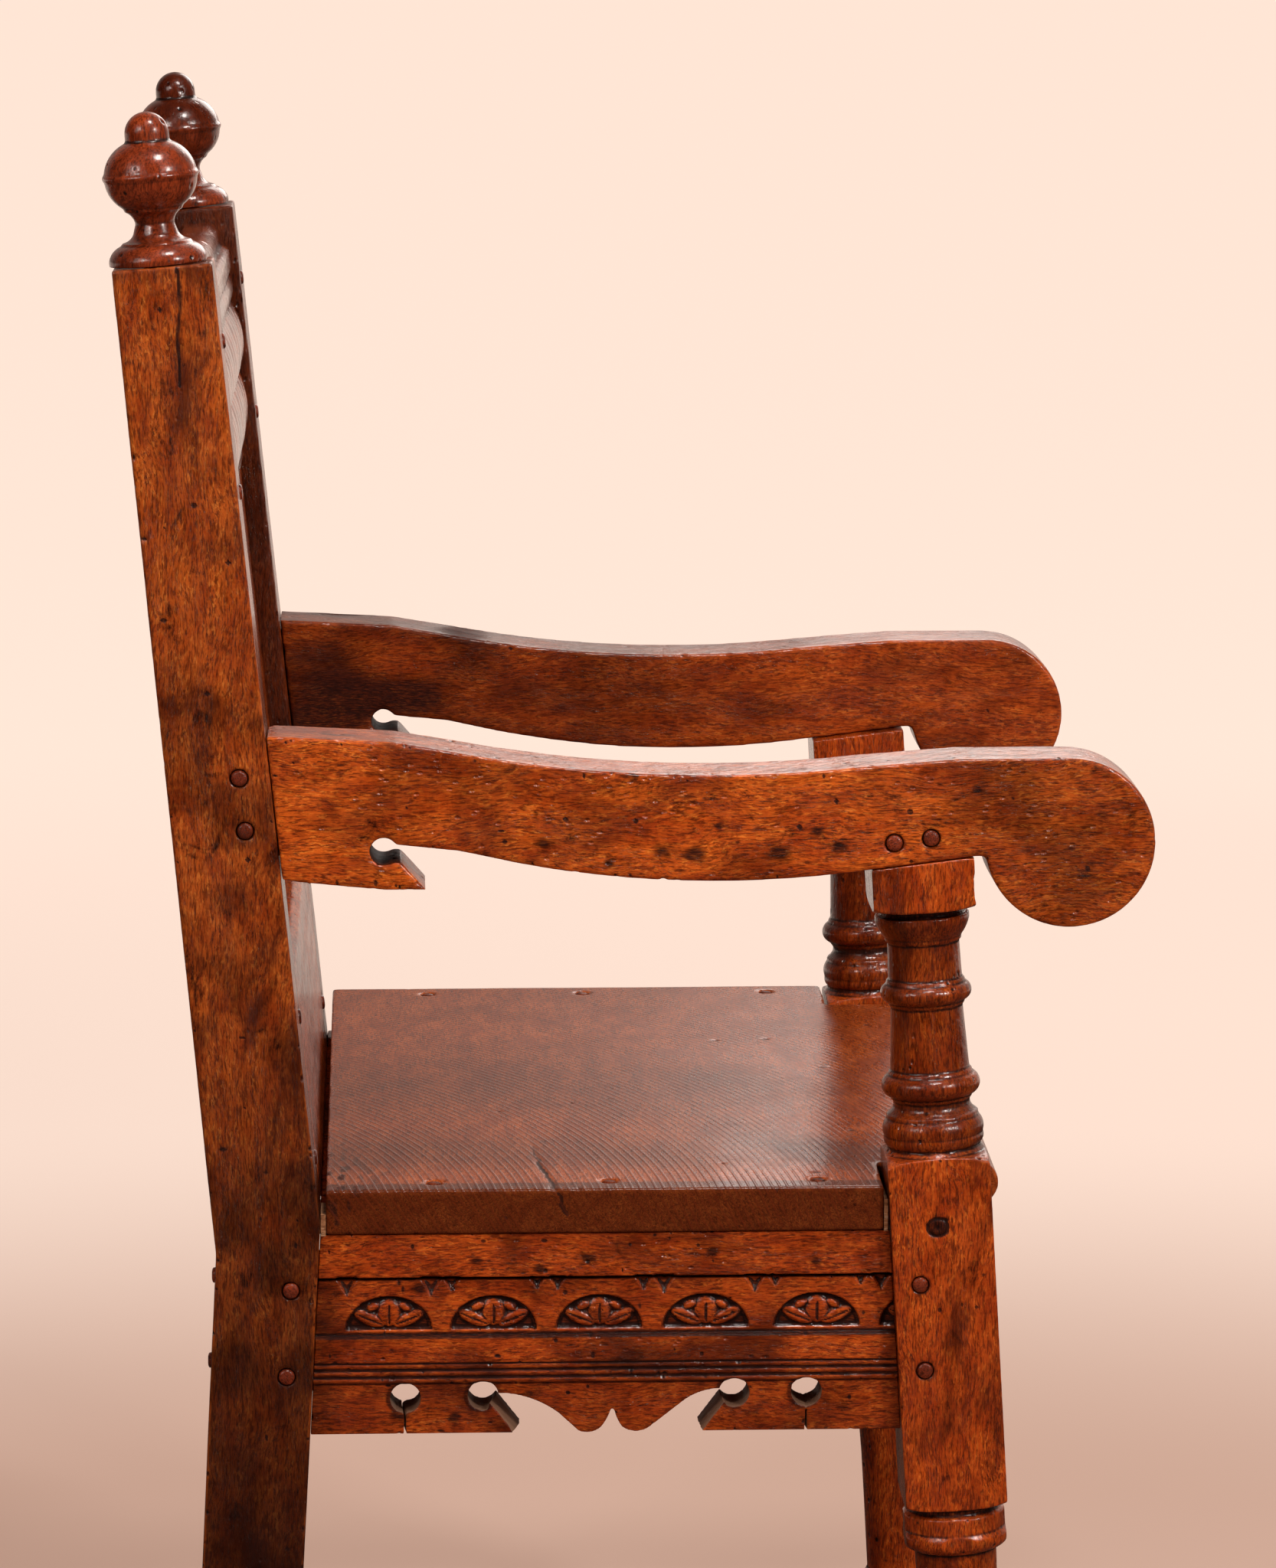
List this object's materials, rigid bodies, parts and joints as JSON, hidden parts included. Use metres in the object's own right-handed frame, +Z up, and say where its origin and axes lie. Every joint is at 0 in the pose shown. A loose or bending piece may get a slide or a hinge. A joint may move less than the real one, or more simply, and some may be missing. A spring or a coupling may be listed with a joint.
{
  "type": "wainscot chair",
  "caption": "Joined oak armchair with a raked panelled back, ball finials, turned front posts, scrolled arms and carved, pierced seat rails.",
  "frame": {"origin": "middle of the chair's bounding box, on the floor", "axes": "+Z up, -Y the way the sitter faces, +X the sitter's left"},
  "size_m": [0.5824, 0.6257, 1.1458],
  "materials": {
    "oak": "old waxed oak, worn glossy",
    "dark_oak": "dark red-brown waxed oak",
    "peg_oak": "dark waxed end grain",
    "pale_oak": "bare pale oak"
  },
  "bodies": {
    "root": {"arm_left": "oak", "arm_pegs_left": "peg_oak", "arm_pegs_right": "peg_oak", "arm_right": "oak", "back_frame_pegs": "peg_oak", "back_panel": "oak", "back_seat_rail": "oak", "crest_rail": "oak", "finial_left": "dark_oak", "finial_right": "dark_oak", "front_post_left": "oak", "front_post_right": "oak", "front_rail": "oak", "front_rail_pegs": "peg_oak", "lower_back_rail": "oak", "rail_pegs_left": "peg_oak", "rail_pegs_right": "peg_oak", "rear_post_left": "oak", "rear_post_right": "oak", "seat_board": "dark_oak", "seat_pins": "peg_oak", "seat_wedges": "pale_oak", "side_rail_left": "oak", "side_rail_right": "oak", "stretcher_back": "oak", "stretcher_front": "oak", "stretcher_left": "oak", "stretcher_pegs": "peg_oak", "stretcher_right": "oak"}
  },
  "joints": []
}
